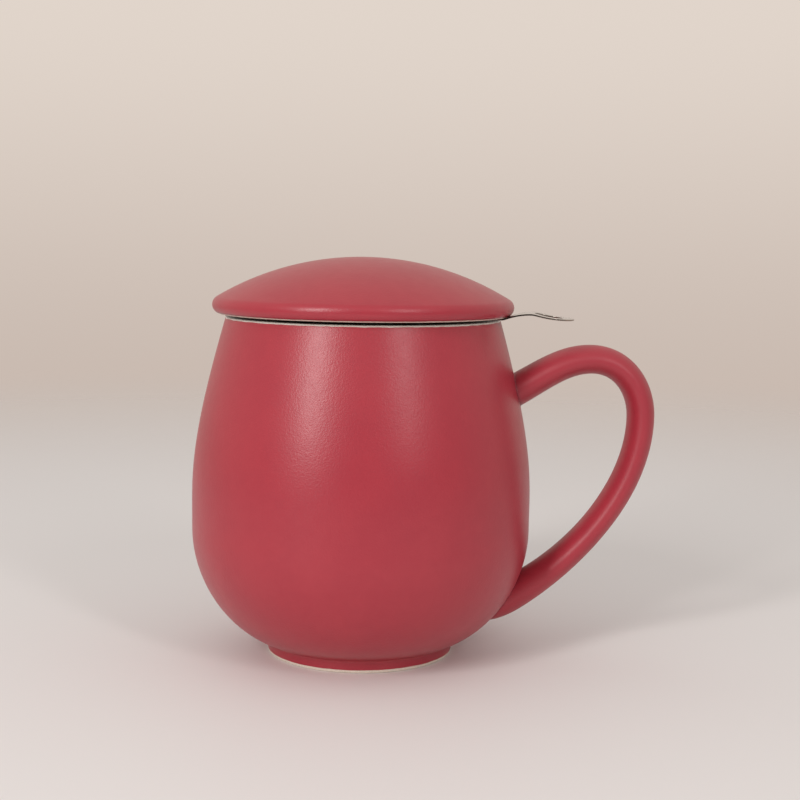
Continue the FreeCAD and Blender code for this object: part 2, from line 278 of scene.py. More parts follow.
# %% From grids to meshes
def grid_faces(rows, columns, closed=False):
    """Four-sided faces between neighbours of a grid whose points are numbered row by row. Each row runs
    round to its start, and closed joins the last row to the first."""
    row = np.arange(rows if closed else rows - 1)[:, None]
    column = np.arange(columns)[None]
    next_row, next_column = (row + 1) % rows, (column + 1) % columns
    corners = [row * columns + column, row * columns + next_column,
               next_row * columns + next_column, next_row * columns + column]
    return np.stack(corners, -1).reshape(-1, 4)


def mesh_piece(name, points_mm, faces, body, replaces, numbers=None, sharp=None):
    """A smooth mesh from points in millimetres. replaces names the CAD nodes that it stands for, numbers
    are named values at the vertices, and sharp is the angle in degrees past which an edge stays sharp."""
    mesh = bpy.data.meshes.new(name)
    mesh.from_pydata(np.asarray(points_mm) * MM, [], [tuple(dict.fromkeys(face)) for face in faces])
    mesh.validate()
    mesh.polygons.foreach_set("use_smooth", np.ones(len(mesh.polygons), bool))
    if sharp:
        mesh.set_sharp_from_angle(angle=math.radians(sharp))
    for key, values in (numbers or {}).items():
        mesh.attributes.new(key, "FLOAT", "POINT").data.foreach_set("value", np.asarray(values, np.float32))
    piece = bpy.data.objects.new(name, mesh)
    bpy.context.scene.collection.objects.link(piece)
    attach(piece, body)
    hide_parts(*replaces)
    print(name, "vertices", len(mesh.vertices), "faces", len(mesh.polygons))
    return piece


def welded(*groups):
    """Faces given by their corners' own places become faces of shared points. Each group is an array of
    shape (faces, corners, 3), and corners that lie in one place get one number."""
    corners = np.vstack([group.reshape(-1, 3) for group in groups])
    _, first, number = np.unique(np.round(corners, 4), axis=0, return_index=True, return_inverse=True)
    number, faces, at = number.ravel(), [], 0
    for group in groups:
        sides = group.shape[-2]
        count = group.size // 3
        faces += number[at:at + count].reshape(-1, sides).tolist()
        at += count
    return corners[first], faces


def strips(lower, upper):
    """Four-sided faces between two rows of points, each row closed on itself, facing outwards when the
    rows run anticlockwise and upper is above lower."""
    return np.stack([lower, np.roll(lower, -1, 0), np.roll(upper, -1, 0), upper], -2)


def turned(name, profile, columns, body, replaces, closed=False):
    """A profile turned about the axis: point (i, j) is (r cos a, r sin a, z) for the profile's (r, z) at i
    and a = 2 pi j / columns. A row on the axis becomes one point. closed joins the profile's last point to
    its first, as in a ring of wire."""
    rows = len(profile)
    angle = np.tile(np.linspace(0, 2 * math.pi, columns, endpoint=False), rows)
    radius, height = np.repeat(profile, columns, axis=0).T
    points = np.column_stack([radius * np.cos(angle), radius * np.sin(angle), height])
    faces = grid_faces(rows, columns, closed)
    first_of_row = np.arange(rows * columns) // columns * columns
    faces = np.where(radius[faces] < 1e-6, first_of_row[faces], faces)
    used, faces = np.unique(faces, return_inverse=True)
    numbers = {"along": np.repeat(along(profile), columns)[used]}
    return mesh_piece(name, points[used], faces.reshape(-1, 4), body, replaces, numbers)


FINE_ROUND = 256
print("faces of a small grid", len(grid_faces(3, 8)), "columns of a turned piece", FINE_ROUND)

# %% [markdown]
# ## The mug's body
# The outside is two curves that meet at the belly: a round underside that starts at the foot, and a
# long neck that leans in to the lip. The wall is the same curve moved inwards by its thickness. Red
# glaze lies on the outside only, a hair proud of the bare foot, and white glaze covers the lip and the
# inside. All of it is one turned surface, from the middle of the foot to the middle of the floor.

# %% The body's outline
mug_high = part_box("mug_body")[1]
FOOT_RADIUS, FOOT_HEIGHT = 24.9, 3.4
FOOT_RING_WIDTH, FOOT_RECESS = 3.5, 2.2
BARE_FOOT, GLAZE = 0.75, 0.14
GLAZE_ROLL = BARE_FOOT + 0.12
NECK_SWELL = 0.06
BELLY = np.array([mug_high.x / MM - NECK_SWELL, 34.0])
RIM = np.array([36.6, 90.0])
LEAN, UNDERSIDE_ANGLE = 15.85, 15.5
UNDERSIDE_PULLS, NECK_PULLS = (11.0, 14.5), (13.9, 36.1)
WALL, FLOOR_THICKNESS = 3.6, 4.8
FLOOR = FOOT_RECESS + FLOOR_THICKNESS
FOOT_CREASE = 0.9

foot_top = np.array([FOOT_RADIUS, FOOT_HEIGHT])
underside = bezier(foot_top, foot_top + heading(UNDERSIDE_ANGLE) * UNDERSIDE_PULLS[0],
                   BELLY - (0, UNDERSIDE_PULLS[1]), BELLY, 70)
neck = bezier(BELLY, BELLY + (0, NECK_PULLS[0]), RIM - heading(90 + LEAN) * NECK_PULLS[1], RIM, 90)
outside = joined(underside, neck)


def body_radius(height):
    """The outer radius of the body at each height, in millimetres."""
    return np.interp(height, outside[:, 1], outside[:, 0])


print("belly", BELLY.round(2), "lip", round(mug_high.z / MM, 2))

# %% The wall and the foot
def moved_in(points, distance):
    """The outline moved sideways: each point goes distance along the normal on the axis's side, which is
    (-y, x) for a slope (x, y)."""
    slope = slopes(points)
    return points - np.column_stack([slope[:, 1], -slope[:, 0]]) * distance


FLOOR_CORNER = 5.2
CORNER_REACH, FLAT_FLOOR = 22.0, 13.0
LIP_PULLS = (1.155, 1.705)

inner = moved_in(outside, WALL)[::-1]
inner = inner[inner[:, 1] > FLOOR + FLOOR_CORNER]
down_the_wall = (inner[-1] - inner[-3]) * 6
floor_corner = bezier(inner[-1], inner[-1] + down_the_wall, (CORNER_REACH, FLOOR), (FLAT_FLOOR, FLOOR), 24)
over_lip = heading(90 + LEAN)
lip = bezier(RIM, RIM + over_lip * LIP_PULLS[0], inner[0] + over_lip * LIP_PULLS[1], inner[0], 28)
lip[:, 1] = np.minimum(lip[:, 1], mug_high.z / MM)

foot_inside = FOOT_RADIUS - FOOT_RING_WIDTH
crease = bezier((FOOT_RADIUS, FOOT_HEIGHT - FOOT_CREASE), foot_top - (0, 0.25),
                foot_top + heading(UNDERSIDE_ANGLE) * 0.3, underside[4], 8)
foot = softened([(0, FOOT_RECESS, 0), (foot_inside, FOOT_RECESS, 0.45), (foot_inside, 0, 0.5),
                 (FOOT_RADIUS - GLAZE, 0, 0.45), (FOOT_RADIUS - GLAZE, BARE_FOOT, 0.05),
                 (FOOT_RADIUS, GLAZE_ROLL, 0.08), (FOOT_RADIUS, FOOT_HEIGHT - FOOT_CREASE, 0)])
bottom = level_row(np.linspace(0, foot_inside - 1, 14), FOOT_RECESS)
floor_line = level_row(np.linspace(FLAT_FLOOR, 0, 14), FLOOR)
mug_profile = joined(bottom, foot[1:], crease, outside[5:], lip, inner, floor_corner, floor_line)


def nearest_along(profile, point):
    """The distance along a profile at which it comes nearest to a point."""
    return along(profile)[np.argmin(np.abs(profile - point).sum(1))]


GLAZE_STARTS = nearest_along(mug_profile, (FOOT_RADIUS, GLAZE_ROLL))
LIP_STARTS = nearest_along(mug_profile, RIM)
CREASE_AT = nearest_along(mug_profile, foot_top)
BODY_ROUND = 240  # less than FINE_ROUND, which keeps the body under 200,000 triangles
body_piece = turned("mug_body_glazed", mug_profile, BODY_ROUND, "mug", ["mug_body"])
print("glaze runs from", round(GLAZE_STARTS, 1), "to", round(LIP_STARTS, 1), "mm along the profile")

# %% [markdown]
# ## The handle
# A potter pulls or presses an oval strap and bends it into an ear. Its middle line is four curves that
# meet smoothly. We lay ovals across it, follow each line of the strap until it meets the body, and
# finish with a very small fillet, which is a curve with its corner at that meeting point. The join is
# nearly sharp on the real one, and the red there is darkened with painted shade.

# %% The ear's middle line
ROOT_HEIGHT, LOW_HEIGHT = 71.5, 16.6
ROOT_SUNK = 4
HANDLE_ROOT = np.array([body_radius(ROOT_HEIGHT), ROOT_HEIGHT])
HANDLE_SHOULDER = BELLY + (15.9, 46.0)
HANDLE_REACH = BELLY + (29.44, 30.6)
HANDLE_LOW = np.array([body_radius(LOW_HEIGHT) + 1.9, LOW_HEIGHT])
HANDLE_TAIL = HANDLE_LOW - (11.0, 3.4)
TOP_ANGLE, LOW_ANGLE = 26.5, 31.4
TOP_PULL, SHOULDER_PULL, LOW_PULL, TAIL_PULL = 10, 8.4, 19, 4.5
REACH_PULL_UP, REACH_PULL_DOWN = 8.1, 19.5
STRAP_STEP = 0.4

ear_start = HANDLE_ROOT - heading(TOP_ANGLE) * ROOT_SUNK
ear = joined(
    bezier(ear_start, ear_start + heading(TOP_ANGLE) * TOP_PULL,
           HANDLE_SHOULDER - (SHOULDER_PULL, 0), HANDLE_SHOULDER, 60),
    bezier(HANDLE_SHOULDER, HANDLE_SHOULDER + (SHOULDER_PULL, 0),
           HANDLE_REACH + (0, REACH_PULL_UP), HANDLE_REACH, 60),
    bezier(HANDLE_REACH, HANDLE_REACH - (0, REACH_PULL_DOWN),
           HANDLE_LOW + heading(LOW_ANGLE) * LOW_PULL, HANDLE_LOW, 90),
    bezier(HANDLE_LOW, HANDLE_LOW - heading(LOW_ANGLE) * TAIL_PULL,
           HANDLE_TAIL + (TAIL_PULL, 0), HANDLE_TAIL, 40),
)
ear = evened(ear, STRAP_STEP)
print("the middle line is", round(len(ear) * STRAP_STEP), "mm long")

# %% The strap
# Sizes in the middle of the handle, at its top root and at its low end, and the share of its length
# over which it grows towards each end.
HANDLE_THICKNESS = (7.15, 8.7, 10.2)
HANDLE_WIDTH = (13.0, 15.0, 15.0)
TOP_SWELL, LOW_SWELL = 0.5, 0.36
STRAP_COLUMNS = 72


def strap(middle, columns):
    """Ovals across the middle line: at angle a, half a thickness times cos a along the normal and half a
    width times sin a along Y. Both grow towards the ends as a square."""
    share = along(middle)[:, None] / along(middle)[-1]
    near_top = np.maximum(0, 1 - share / TOP_SWELL) ** 2
    near_low = np.maximum(0, 1 - (1 - share) / LOW_SWELL) ** 2

    def swelled(sizes):
        return sizes[0] + (sizes[1] - sizes[0]) * near_top + (sizes[2] - sizes[0]) * near_low

    slope = slopes(middle)
    angle = np.linspace(0, 2 * math.pi, columns, endpoint=False)[None]
    out = swelled(HANDLE_THICKNESS) / 2 * np.cos(angle)
    x = middle[:, :1] - slope[:, 1:] * out
    z = middle[:, 1:] + slope[:, :1] * out
    return np.stack([x, swelled(HANDLE_WIDTH) / 2 * np.sin(angle), z], -1)


ovals = strap(ear, STRAP_COLUMNS)
print("ovals", ovals.shape[0], "reach to x =", ovals[..., 0].max().round(2))

# %% Where the strap meets the body
def outside_by(points):
    """How far each point stands outside the body, measured level."""
    return np.hypot(points[..., 0], points[..., 1]) - body_radius(points[..., 2])


def between(rows):
    """The points of the ovals at fractional row numbers, one number for each column."""
    low = np.clip(np.floor(rows).astype(int), 0, len(ovals) - 2)
    column = np.arange(ovals.shape[1])
    share = (rows - low)[..., None]
    return ovals[low, column] * (1 - share) + ovals[low + 1, column] * share


def crossing(stand):
    """The fractional row at which each column first comes out of the body."""
    row = np.argmax(stand > 0, axis=0)
    column = np.arange(stand.shape[1])
    before, after = stand[row - 1, column], stand[row, column]
    return row - 1 + before / (before - after)


stand = outside_by(ovals)
top_row = crossing(stand)
low_row = len(ovals) - 1 - crossing(stand[::-1])
print("the top root spans z", between(top_row)[:, 2].min().round(1), between(top_row)[:, 2].max().round(1))

# %% The fillets of slip and the finished handle
FILLET = 0.35
FILLET_ROWS = 6
FILLET_STEPS = FILLET / STRAP_STEP
SKIRT = 0.4
SKIN_DEEP, UNDER_GLAZE, IN_WALL = 0.01, 0.07, 0.9
MIDDLE_ROWS = 190


def fillet(rows, inwards):
    """Rows of points from the strap to the body round one root, as quadratic curves whose corner is the
    meeting point. Two more rows slip under the body's glaze and then go down into its wall."""
    corner = between(rows)
    turn = np.arctan2(corner[:, 1], corner[:, 0])
    radius = body_radius(corner[:, 2]).mean()
    flat = np.column_stack([turn * radius, corner[:, 2]])
    normal = outward(flat)
    normal *= np.sign(((flat - flat.mean(0)) * normal).sum(1))[:, None]

    def on_body(away, sink):
        """Points on the body, away from the meeting line and moved inwards by sink."""
        round_body, height = (flat + normal * away).T
        deep, turn = body_radius(height) - sink, round_body / radius
        return np.stack([deep * np.cos(turn), deep * np.sin(turn), height], -1)

    t = np.linspace(0, 1, FILLET_ROWS)[:, None, None]
    bow = quadratic(between(rows - inwards * FILLET_STEPS), corner, on_body(FILLET, SKIN_DEEP), t)
    return np.concatenate([bow, on_body(FILLET + SKIRT, UNDER_GLAZE)[None],
                           on_body(FILLET * 0.6, IN_WALL)[None]])


top_fillet = fillet(top_row, -1)
low_fillet = fillet(low_row, 1)
share = np.linspace(0, 1, MIDDLE_ROWS)[:, None]
middle_rows = between((top_row + FILLET_STEPS) * (1 - share) + (low_row - FILLET_STEPS) * share)
skin = np.concatenate([top_fillet[::-1], middle_rows[1:-1], low_fillet])
print("the handle's skin has", len(skin), "rows of", STRAP_COLUMNS)

# %% Close the handle's ends
skin_rows = len(skin)
from_end = np.minimum(np.arange(skin_rows), np.arange(skin_rows)[::-1])
# Painted shade: a share of darker red that is 1 in the fillets at both roots and falls away over the next
# rows.
painted_shade = np.exp(-np.maximum(0, from_end - FILLET_ROWS) ** 2 / 2)
caps = np.array([top_fillet[-1].mean(0), low_fillet[-1].mean(0)])
ring = np.arange(STRAP_COLUMNS)
next_on_ring = (ring + 1) % STRAP_COLUMNS
low_ring = (skin_rows - 1) * STRAP_COLUMNS
top_pole = np.full(STRAP_COLUMNS, skin_rows * STRAP_COLUMNS)
handle_faces = [*grid_faces(skin_rows, STRAP_COLUMNS)[:, ::-1].tolist(),
                *np.column_stack([ring, next_on_ring, top_pole]).tolist(),
                *np.column_stack([low_ring + next_on_ring, low_ring + ring, top_pole + 1]).tolist()]
handle_piece = mesh_piece("mug_handle_glazed", np.vstack([skin.reshape(-1, 3), caps]), handle_faces, "mug",
                          ["mug_handle"],
                          {"painted_shade": np.r_[np.repeat(painted_shade, STRAP_COLUMNS), 1, 1]})

# %% [markdown]
# ## The lid
# The dome is part of a large sphere, and its edge is a small circle that the sphere runs into. Two
# numbers settle it: the radius of the edge and the height of the top. Underneath is a flat seat for the
# steel rim, a groove, and a ring that keeps the lid in the middle. Below the edge the red stops: the
# seat is wiped bare, because a lid glazed there would stick in the kiln.

# %% Turn the lid
lid_low, lid_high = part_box("lid")
SEAT_GAP = 0.05
LID_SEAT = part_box("infuser_rim")[1].z / MM + SEAT_GAP
LID_TOP = lid_high.z / MM
EDGE_ROUNDING, EDGE_RISE = 2.4, 2.3  # the edge's circle, and how far its middle is above the seat
EDGE = np.array([lid_high.x / MM - EDGE_ROUNDING, LID_SEAT + EDGE_RISE])
LID_THICKNESS = 4.2
SEAT_INSIDE, CEILING_OUT = 34.2, 22.0
RING_OUTSIDE, RING_WIDTH = 29.84, 3.0
RING_INSIDE, RING_LOW = RING_OUTSIDE - RING_WIDTH, lid_low.z / MM

drop = LID_TOP - EDGE[1]
DOME = (EDGE[0] ** 2 + drop ** 2 - EDGE_ROUNDING ** 2) / (2 * (drop - EDGE_ROUNDING))
dome_middle = np.array([0, LID_TOP - DOME])


def on_dome(radius, depth=0.0):
    """The height at a distance r from the axis, middle + sqrt((radius - depth)^2 - r^2), of the dome or of
    a sphere that lies depth inside it."""
    return dome_middle[1] + np.sqrt((DOME - depth) ** 2 - np.asarray(radius, float) ** 2)


meets_dome = math.degrees(math.atan2(*(EDGE - dome_middle)[::-1]))
meets_seat = -math.degrees(math.asin(EDGE_RISE / EDGE_ROUNDING))
radii = np.linspace(0, EDGE[0] + EDGE_ROUNDING * math.cos(math.radians(meets_dome)), 60)
dome_line = np.column_stack([radii, on_dome(radii)])
edge_line = arc(EDGE, EDGE_ROUNDING, meets_dome, meets_seat, 22)
groove = softened([
    tuple(edge_line[-1]) + (0,), (SEAT_INSIDE, LID_SEAT, 0.6),
    (SEAT_INSIDE, on_dome(SEAT_INSIDE, LID_THICKNESS), 0.8),
    (RING_OUTSIDE, on_dome(RING_OUTSIDE, LID_THICKNESS), 0.8),
    (RING_OUTSIDE, RING_LOW, 0.9), (RING_INSIDE, RING_LOW, 0.9),
    (RING_INSIDE, on_dome(RING_INSIDE, LID_THICKNESS), 1.2),
    (CEILING_OUT, on_dome(CEILING_OUT, LID_THICKNESS), 0),
])
radii = np.linspace(CEILING_OUT, 0, 24)
ceiling = np.column_stack([radii, on_dome(radii, LID_THICKNESS)])
lid_profile = joined(dome_line, edge_line, groove, ceiling)[::-1]
SEAT_AT = along(lid_profile)[-1] - along(joined(dome_line, edge_line))[-1]
lid_piece = turned("lid_glazed", lid_profile, FINE_ROUND, "lid", ["lid"])
print("dome radius", round(DOME, 1), "the seat is", round(SEAT_AT, 1), "mm along")

# %% [markdown]
# ## The steel rim and its collar
# The rim is a washer of sheet steel whose inner edge is drawn down into a short collar. A press does
# that in one stroke, so the two are one sheet with a bend between them. One closed outline turned about
# the axis shows the bend, where two plain rings would only touch. The outer edge is turned down by a
# quarter of a millimetre over the lip, which is why it looks thicker than the sheet.

# %% Spin the rim and collar
rim_low, rim_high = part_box("infuser_rim")
collar_low, collar_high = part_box("infuser_collar")
RIM_OUT, RIM_TOP, RIM_UNDER = rim_high.x / MM, rim_high.z / MM, rim_low.z / MM
COLLAR_OUT, COLLAR_LOW = collar_high.x / MM, collar_low.z / MM
COLLAR_IN = COLLAR_OUT - 0.4
HEM_WIDTH, HEM_LOW = 0.22, RIM_UNDER - 0.25

rim_start = (34.0, RIM_UNDER, 0)
rim_outline = softened([
    rim_start, (RIM_OUT - HEM_WIDTH, RIM_UNDER, 0.03), (RIM_OUT - HEM_WIDTH, HEM_LOW, 0.05),
    (RIM_OUT, HEM_LOW, 0.09), (RIM_OUT, HEM_LOW + 0.15, 0), (RIM_OUT, RIM_TOP - 0.15, 0),
    (RIM_OUT, RIM_TOP, 0.09), (COLLAR_IN, RIM_TOP, 1.3),
    (COLLAR_IN, COLLAR_LOW, 0.18), (COLLAR_OUT, COLLAR_LOW, 0.18), (COLLAR_OUT, RIM_UNDER, 0.9),
    rim_start,
], 8)
rim_piece = turned("infuser_rim_spun", rim_outline[:-1], FINE_ROUND, "infuser",
                   ["infuser_rim", "infuser_collar"], closed=True)

# %% [markdown]
# ## The pull tab
# A tongue of the same sheet, bent up and over so that a finger finds it, with an oval hole and a round
# end. Its plan is an outline with a hole in it, which no simple grid fits, so Blender's own
# triangulation fills the region. The plan is then bent to the side view, and each edge stays nearly
# square, as a press shears it, with the two small roundings that tumbling leaves.

# %% Fill a region between loops
def region(loops, scattered=()):
    """Triangles that fill the first loop and leave out the others, with scattered points in between. Each
    loop is an array of (x, y). The points come back first, then the triangles' numbers."""
    points = np.vstack([*loops, *([scattered] if len(scattered) else [])])
    of_loop = np.repeat(np.arange(len(loops)), [len(loop) for loop in loops])
    start = np.cumsum([0] + [len(loop) for loop in loops[:-1]])
    number = np.arange(len(of_loop))
    last = np.r_[start[1:], len(of_loop)][of_loop] - 1
    after = np.where(number == last, start[of_loop], number + 1)
    edges = np.column_stack([number, after]).tolist()
    _, _, triangles, *_ = delaunay_2d_cdt([Vector(point) for point in points], edges, [], 1, 1e-7)
    triangles = np.array(triangles)
    owner = np.r_[of_loop, np.full(len(points) - len(of_loop), -1)][triangles]
    in_hole = (owner[:, 0] > 0) & (owner == owner[:, :1]).all(1)
    return points, triangles[~in_hole]


print("a square fills with", len(region([np.array([(0, 0), (1, 0), (1, 1), (0, 1)], float)])[1]), "triangles")

# %% The tab's plan
TAB_AZIMUTH = math.radians(-9.3)
TAB_HALF, TAB_SHEET = 6.5, 0.43
TAB_END, TAB_HOLE_AT = RIM_OUT + 19.3, RIM_OUT + 12.6
TAB_HOLE = (7.4, 6.4)
TAB_ROOT, ROOT_HALF = RIM_OUT - 0.35, 8.6
SIDE_STEP = 0.5

end_middle = TAB_END - TAB_HALF
flare = bezier((RIM_OUT + 3.2, TAB_HALF), (RIM_OUT + 0.9, TAB_HALF), (RIM_OUT - 0.4, TAB_HALF + 0.7),
               (math.sqrt(TAB_ROOT ** 2 - ROOT_HALF ** 2), ROOT_HALF), 12)
root_turn = math.degrees(math.asin(ROOT_HALF / TAB_ROOT))
root = arc((0, 0), TAB_ROOT, root_turn, -root_turn, 30)
plan = joined((flare * (1, -1))[::-1],
              evened(np.array([flare[0] * (1, -1), (end_middle, -TAB_HALF)]), SIDE_STEP),
              arc((end_middle, 0), TAB_HALF, -90, 90, 44),
              evened(np.array([(end_middle, TAB_HALF), flare[0]]), SIDE_STEP), flare, root)[:-1]
eye_round, eye_half = TAB_HOLE[1] / 2, (TAB_HOLE[0] - TAB_HOLE[1]) / 2
eye = joined(arc((TAB_HOLE_AT + eye_half, 0), eye_round, -90, 90, 26),
             arc((TAB_HOLE_AT - eye_half, 0), eye_round, 90, 270, 26))
print("plan", len(plan), "points, hole", len(eye))

# %% The tab's side view
TAB_MIDDLE = (RIM_TOP + RIM_UNDER) / 2
bend_at = np.array([RIM_OUT + 1.35, TAB_MIDDLE])
peak_at = np.array([RIM_OUT + 8.5, TAB_MIDDLE + 1.42])
end_at = np.array([TAB_END, TAB_MIDDLE + 0.02])
side_view = joined([(TAB_ROOT - 2, TAB_MIDDLE)],
                   bezier(bend_at, bend_at + (1.4, 0.5), peak_at - (3.3, 0), peak_at, 40),
                   bezier(peak_at, peak_at + (1.6, 0), end_at + (-7.6, 0.25), end_at, 60))


def bent(plan_points, lift):
    """Plan points carried onto the side view and turned to the tab's azimuth. lift is measured at right
    angles to the sheet: a point moves by lift times (-slope, 1) over the length of that vector."""
    out, across = plan_points[..., 0], plan_points[..., 1]
    height = np.interp(out, *side_view.T)
    near = 0.2
    slope = (np.interp(out + near, *side_view.T) - np.interp(out - near, *side_view.T)) / (2 * near)
    size = np.hypot(1, slope)
    out, height = out - lift * slope / size, height + lift / size
    turn = (math.cos(TAB_AZIMUTH), math.sin(TAB_AZIMUTH))
    return np.stack([out * turn[0] - across * turn[1], out * turn[1] + across * turn[0], height], -1)


print("the tab rises to", peak_at[1].round(2), "mm and ends at", end_at[1].round(2), "mm")

# %% The tab's edges
HALF_SHEET, TAB_SOFT = TAB_SHEET / 2, 0.08
ROOT_BLEND = 0.6


def edge_faces(loop, normal):
    """A sheared edge with two small roundings: the loop moves outwards by soft times cos b and stands
    soft times sin b above or below a point soft inside each face. Between them the edge is flat."""
    flat_half = HALF_SHEET - TAB_SOFT
    upper = np.vstack([(TAB_SOFT, flat_half / 2), arc((0, flat_half), TAB_SOFT, 0, 90, 4)])
    steps = np.vstack([(upper * (1, -1))[::-1], upper])
    rows = [bent(loop + normal * out, lift) for out, lift in steps]
    return [strips(low, high) for low, high in zip(rows, rows[1:])]


off_root = np.clip((np.hypot(*plan.T) - TAB_ROOT) / ROOT_BLEND, 0, 1)[:, None]
plan_normal, eye_normal = outward(plan) * off_root, -outward(eye)
plan_inset, eye_grown = plan - plan_normal * TAB_SOFT, eye - eye_normal * TAB_SOFT
tab_edges = [*edge_faces(plan_inset, plan_normal), *edge_faces(eye_grown[::-1], eye_normal[::-1])]
print("rows of faces on the tab's edges", len(tab_edges))

# %% Press the tab
FILL_STEP, FILL_HALF = 0.6, 5.7
OFF_END, OFF_EYE = 0.7, 0.6

fill_out, fill_across = np.meshgrid(np.arange(RIM_OUT + FILL_STEP, TAB_END, FILL_STEP),
                                    np.arange(-FILL_HALF, FILL_HALF + FILL_STEP / 2, FILL_STEP))
fill = np.column_stack([fill_out.ravel(), fill_across.ravel()])
in_end = (fill[:, 0] < end_middle) | (np.hypot(fill[:, 0] - end_middle, fill[:, 1]) < TAB_HALF - OFF_END)
past_eye = np.maximum(np.abs(fill[:, 0] - TAB_HOLE_AT) - eye_half, 0)
off_eye = np.hypot(past_eye, fill[:, 1]) > eye_round + OFF_EYE
sheet_points, sheet_triangles = region([plan_inset, eye_grown], fill[in_end & off_eye])
points, faces = welded(bent(sheet_points[sheet_triangles], HALF_SHEET),
                       bent(sheet_points[sheet_triangles[:, ::-1]], -HALF_SHEET), *tab_edges)
tab_piece = mesh_piece("pull_tab_pressed", points, faces, "infuser", ["pull_tab"])

# %% [markdown]
# ## The sieve
# The basket is thin sheet with thousands of etched holes, rolled into a tube. A picture of dots would
# look flat when the lid is off, so these holes are real: each sits in a six-sided cell, and the cells
# tile the sheet like a honeycomb. One cell is worked out for every place at once, and the zigzag edges
# of the honeycomb are joined to the plain bands above and below.

# %% Roll the sieve
sieve_low, sieve_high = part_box("infuser_sieve")
SIEVE_OUT, SIEVE_SHEET = sieve_high.x / MM, 0.3
SIEVE_IN = SIEVE_OUT - SIEVE_SHEET
SIEVE_LOW, SIEVE_TOP = sieve_low.z / MM, sieve_high.z / MM
CELLS_ROUND, CELL_ROWS = 90, 25
CELL = 2 * math.pi * SIEVE_OUT / CELLS_ROUND
ROW = CELL * math.sqrt(3) / 2
HOLE, PLAIN_BELOW = 1.05, 5.2


def rolled(flat, radius):
    """A flat point (distance round, height) laid on the tube: the angle is the distance over the radius
    of the outside, so both faces of the sheet line up."""
    turn = flat[..., 0] / SIEVE_OUT
    return np.stack([radius * np.cos(turn), radius * np.sin(turn), flat[..., 1]], -1)


def honeycomb(column, row):
    """The middles of cells: every second row is moved along by half a cell."""
    return np.stack([(column + 0.5 * (row % 2)) * CELL, row * ROW], -1)


# Twelve spokes go to the cell's border: the odd ones to its corners, the even ones to the middles of
# its sides.
twelfth = np.arange(12)
spoke = np.column_stack([np.cos(twelfth * math.pi / 6), np.sin(twelfth * math.pi / 6)])
middles = honeycomb(*np.meshgrid(np.arange(CELLS_ROUND), np.arange(CELL_ROWS)))[:, :, None]
middles = middles + (0, SIEVE_LOW + PLAIN_BELOW)
border = middles + spoke * np.where(twelfth % 2, CELL / math.sqrt(3), CELL / 2)[:, None]
hole = middles + spoke * HOLE / 2
next_hole = np.roll(hole, -1, 2)
cells = np.stack([hole, border, np.roll(border, -1, 2), next_hole], -2)
walls = np.stack([rolled(hole, SIEVE_OUT), rolled(next_hole, SIEVE_OUT),
                  rolled(next_hole, SIEVE_IN), rolled(hole, SIEVE_IN)], -2)
print("holes in the tube:", CELLS_ROUND * CELL_ROWS, "each", HOLE, "mm")

# %% Join the honeycomb to its plain bands
# From left to right a cell's upper border has spokes 5, 4, 3 and 2 and its lower border 7, 8, 9 and 10.
# The spoke that would come next is the first one of the next cell.
upper_zigzag = border[-1][:, [5, 4, 3, 2]].reshape(-1, 2)
lower_zigzag = border[0][:, [7, 8, 9, 10]].reshape(-1, 2)
top_line = level_row(upper_zigzag[:, 0], SIEVE_TOP)
low_line = level_row(lower_zigzag[:, 0], SIEVE_LOW)
bands = []
for low_edge, high_edge in ((low_line, lower_zigzag), (upper_zigzag, top_line)):
    bands.append(strips(rolled(low_edge, SIEVE_OUT), rolled(high_edge, SIEVE_OUT)))
    bands.append(strips(rolled(high_edge, SIEVE_IN), rolled(low_edge, SIEVE_IN)))
rims = [strips(rolled(top_line, SIEVE_OUT), rolled(top_line, SIEVE_IN)),
        strips(rolled(low_line, SIEVE_IN), rolled(low_line, SIEVE_OUT))]
points, faces = welded(rolled(cells, SIEVE_OUT), rolled(cells[..., ::-1, :], SIEVE_IN), walls, *bands, *rims)
sieve_piece = mesh_piece("sieve_perforated", points, faces, "infuser",
                         ["infuser_sieve"], sharp=50)

# %% [markdown]
# ## The sieve's base, its hoop and its seam
# A round sheet with the same holes closes the lower end. A hoop is crimped round that corner, because
# sheet this thin can't be welded edge to edge, and a flat lap seam runs down the side, pinched by a row
# of small weld spots. The base is filled by the same triangulation as the tab.

# %% Punch the base
BASE_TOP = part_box("infuser_base")[1].z / MM
BASE_OUT, HOLES_WITHIN = SIEVE_IN - 0.05, 26.2
CELLS_OUT, ROWS_OUT = 14, 16
lattice = honeycomb(*np.meshgrid(np.arange(-CELLS_OUT, CELLS_OUT + 1), np.arange(-ROWS_OUT, ROWS_OUT + 1)))
lattice = lattice.reshape(-1, 2)
lattice = lattice[np.hypot(*lattice.T) < HOLES_WITHIN]
eyes = lattice[:, None] + spoke * HOLE / 2
next_eyes = np.roll(eyes, -1, 1)
disc = arc((0, 0), BASE_OUT, 0, 360, 145)[:-1]
base_points, base_triangles = region([disc, *eyes])


def level(flat, height):
    """Flat points at a height."""
    return np.concatenate([flat, np.full(flat.shape[:-1] + (1,), height)], -1)


eye_walls = np.stack([level(next_eyes, SIEVE_LOW), level(eyes, SIEVE_LOW),
                      level(eyes, BASE_TOP), level(next_eyes, BASE_TOP)], -2)
points, faces = welded(level(base_points[base_triangles], BASE_TOP),
                       level(base_points[base_triangles[:, ::-1]], SIEVE_LOW),
                       strips(level(disc, SIEVE_LOW), level(disc, BASE_TOP)), eye_walls)
base_piece = mesh_piece("sieve_base_perforated", points, faces, "infuser",
                        ["infuser_base"], sharp=50)
print("holes in the base:", len(eyes))

